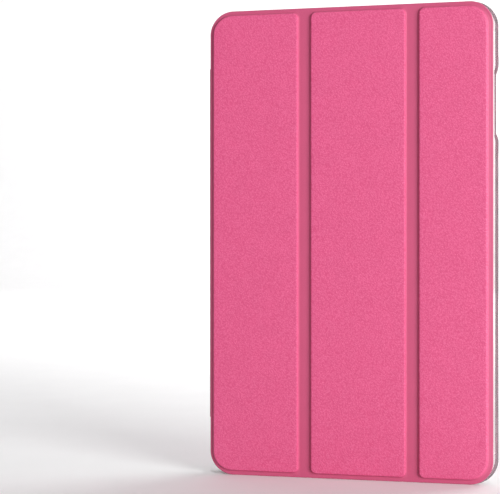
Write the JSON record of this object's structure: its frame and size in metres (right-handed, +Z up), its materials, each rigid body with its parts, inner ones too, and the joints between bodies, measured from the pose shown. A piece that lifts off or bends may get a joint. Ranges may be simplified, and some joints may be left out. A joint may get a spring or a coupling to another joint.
{
  "type": "tablet case",
  "caption": "Folding tablet case: a clear back shell with corner clips and a padded leather cover in three panels that folds back into a stand.",
  "frame": {"origin": "middle of the bottom of the closed case, standing upright on its short edge", "axes": "+Z up along the long edge, towards the end with the ports; -Y is the front, where the cover is; +Y is the clear back; the spine is at -X and the cover's free edge at +X"},
  "size_m": [0.12, 0.0162, 0.1954],
  "materials": {
    "clear_polycarbonate": "clear moulded rim with a frosted back panel",
    "pink_leather": "fine diagonal grain, embossed pads, smooth turned edges",
    "coral_lining": "short soft nap",
    "grey_board": "plain pressed board, hidden",
    "nickel_magnet": "plated, hidden",
    "white_tape": "thin double-sided tape"
  },
  "bodies": {
    "shell": {"back_shell": "clear_polycarbonate", "spine_flange": "pink_leather", "flange_tape": "white_tape"},
    "spine": {"spine_leather": "pink_leather", "spine_board": "grey_board", "spine_lining": "coral_lining"},
    "panel_a": {"panel_a_leather": "pink_leather", "panel_a_board": "grey_board", "panel_a_lining": "coral_lining", "panel_a_magnet_1": "nickel_magnet", "panel_a_magnet_2": "nickel_magnet"},
    "fold_ab": {"fold_ab_leather": "pink_leather", "fold_ab_lining": "coral_lining"},
    "panel_b": {"panel_b_leather": "pink_leather", "panel_b_board": "grey_board", "panel_b_lining": "coral_lining"},
    "fold_bc": {"fold_bc_leather": "pink_leather", "fold_bc_lining": "coral_lining"},
    "panel_c": {"panel_c_leather": "pink_leather", "panel_c_board": "grey_board", "panel_c_lining": "coral_lining", "panel_c_hold_magnet_1": "nickel_magnet", "panel_c_hold_magnet_2": "nickel_magnet", "panel_c_hold_magnet_3": "nickel_magnet", "panel_c_hold_magnet_4": "nickel_magnet", "sleep_magnet": "nickel_magnet"}
  },
  "joints": [
    {"name": "cover_swing", "type": "hinge", "parent": "shell", "child": "spine", "pos_m": [-0.05905, 0.00775, 0.0977], "axis": [0, 0, -1], "range_deg": [0, 209]},
    {"name": "spine_front", "type": "hinge", "parent": "spine", "child": "panel_a", "pos_m": [-0.059, -0.00615, 0.0977], "axis": [0, 0, -1], "range_deg": [0, 90]},
    {"name": "stand_fold", "type": "hinge", "parent": "panel_a", "child": "fold_ab", "pos_m": [-0.0209, -0.00685, 0.0977], "axis": [0, 0, -1], "range_deg": [0, 67.95]},
    {"name": "fold_ab_far", "type": "hinge", "parent": "fold_ab", "child": "panel_b", "pos_m": [-0.0172, -0.00685, 0.0977], "axis": [0, 0, -1], "range_deg": [0, 67.95]},
    {"name": "fold_bc_near", "type": "hinge", "parent": "panel_b", "child": "fold_bc", "pos_m": [0.0237, -0.00685, 0.0977], "axis": [0, 0, -1], "range_deg": [0, 52.6]},
    {"name": "fold_bc_far", "type": "hinge", "parent": "fold_bc", "child": "panel_c", "pos_m": [0.0274, -0.00685, 0.0977], "axis": [0, 0, -1], "range_deg": [0, 52.6]}
  ],
  "couplings": [
    {"joint": "spine_front", "follows": "cover_swing", "ratio": 0.4306},
    {"joint": "fold_ab_far", "follows": "stand_fold", "ratio": 1},
    {"joint": "fold_bc_near", "follows": "stand_fold", "ratio": 0.7734},
    {"joint": "fold_bc_far", "follows": "stand_fold", "ratio": 0.7734}
  ]
}
